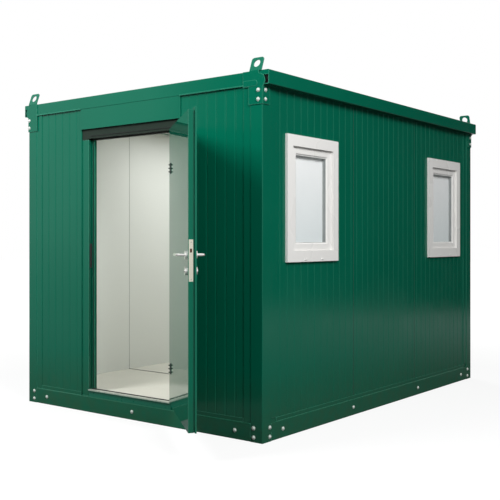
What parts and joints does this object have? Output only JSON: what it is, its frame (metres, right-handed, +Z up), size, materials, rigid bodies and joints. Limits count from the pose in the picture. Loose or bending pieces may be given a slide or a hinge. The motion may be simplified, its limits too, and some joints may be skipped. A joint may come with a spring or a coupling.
{
  "type": "portable site cabin",
  "caption": "Small steel-framed site cabin with ribbed sandwich walls, a hinged outward-opening door, fixed white-framed windows and lifting eyes at the roof corners.",
  "frame": {"origin": "on the ground under the middle of the cabin, on the underside of the middle floor joist", "axes": "+Z up, +X to the right along the door end, +Y from the door end to the back; the windowed side faces +X"},
  "size_m": [2.4, 3.8494, 2.4182],
  "materials": {
    "green_paint": "glossy moss green coil coating",
    "anthracite_trim": "satin dark grey",
    "galvanised_steel": "dull zinc",
    "interior_white": "glossy off-white coil coating",
    "floor_vinyl": "cream sheet vinyl",
    "satin_steel": "satin",
    "dark_steel": "dark grey satin",
    "white_pvc": "white extruded window profile",
    "window_glass": "pale frosted double glazing"
  },
  "bodies": {
    "cabin": {"base_rail_front": "green_paint", "base_rail_back": "green_paint", "base_rail_left": "green_paint", "base_rail_right": "green_paint", "corner_post_front_left": "green_paint", "corner_post_front_right": "green_paint", "corner_post_back_left": "green_paint", "corner_post_back_right": "green_paint", "lifting_bracket_front_left": "green_paint", "lifting_bracket_front_right": "green_paint", "lifting_bracket_back_left": "green_paint", "lifting_bracket_back_right": "green_paint", "roof_beam_front": "green_paint", "roof_beam_back": "green_paint", "eave_channel_left": "green_paint", "eave_channel_right": "green_paint", "front_panel_left": "green_paint", "front_panel_right": "green_paint", "door_transom": "green_paint", "right_panel_front": "green_paint", "right_panel_middle": "green_paint", "right_panel_back": "green_paint", "left_panel_front": "green_paint", "left_panel_middle": "green_paint", "left_panel_back": "green_paint", "back_panel_left": "green_paint", "back_panel_right": "green_paint", "door_jamb_left": "green_paint", "door_jamb_right": "green_paint", "floor_joists": "green_paint", "door_head": "anthracite_trim", "door_sill": "galvanised_steel", "roof_sheet": "galvanised_steel", "ceiling_panel": "interior_white", "floor_deck": "floor_vinyl", "hinge_frame_halves": "dark_steel", "window_frame_front": "white_pvc", "window_frame_back": "white_pvc", "window_sashes": "white_pvc", "window_panes": "window_glass"},
    "door": {"door_leaf": "green_paint", "door_inner_sheet": "green_paint", "lock_faceplate": "satin_steel", "lock_roses": "satin_steel", "hinge_door_halves": "dark_steel"},
    "handle": {"lever_handle": "satin_steel"}
  },
  "joints": [
    {"name": "door_hinge", "type": "hinge", "parent": "cabin", "child": "door", "pos_m": [0.44, -1.606, 1.0815], "axis": [0, 0, 1], "range_deg": [-140, 25]},
    {"name": "lever_turn", "type": "hinge", "parent": "door", "child": "handle", "pos_m": [1.07057, -2.17688, 1.185], "axis": [-0.6428, -0.766, 0], "range_deg": [0, 40], "stiffness_Nm_per_rad": 0.6, "springref_deg": -28.65}
  ]
}
